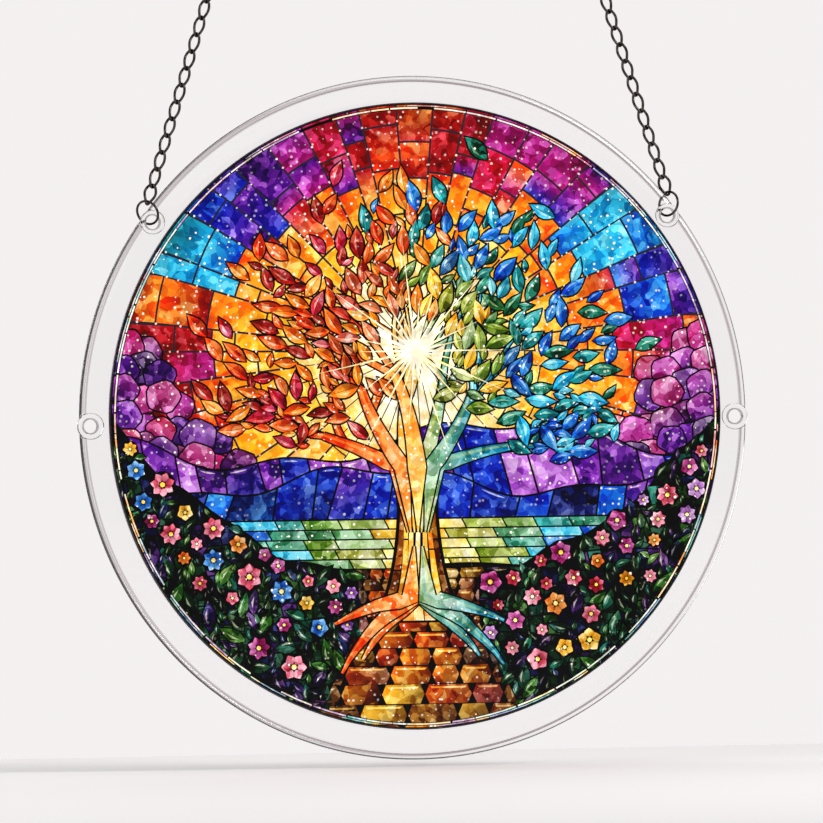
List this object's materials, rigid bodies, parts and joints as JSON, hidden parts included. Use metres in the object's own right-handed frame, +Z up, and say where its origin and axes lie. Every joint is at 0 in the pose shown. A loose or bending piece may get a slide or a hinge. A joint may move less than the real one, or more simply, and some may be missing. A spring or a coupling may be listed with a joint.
{
  "type": "hanging acrylic suncatcher",
  "caption": "Round clear acrylic suncatcher with a printed stained-glass style disc on its front, hung from a ring by two dark metal chains.",
  "frame": {"origin": "inside top of the hanging ring, where a hook holds it", "axes": "+Z up along the hang, -Y out of the printed front, +X to the right as seen from the front"},
  "size_m": [0.2004, 0.0073, 0.4229],
  "materials": {
    "clear_acrylic": "gloss",
    "printed_acrylic": "gloss",
    "dark_metal": "satin"
  },
  "bodies": {
    "root": {"clear_disc": "clear_acrylic", "picture_disc": "printed_acrylic", "jump_ring_left": "dark_metal", "jump_ring_right": "dark_metal", "chain_left": "dark_metal", "chain_right": "dark_metal", "hanging_ring": "dark_metal"}
  },
  "joints": []
}
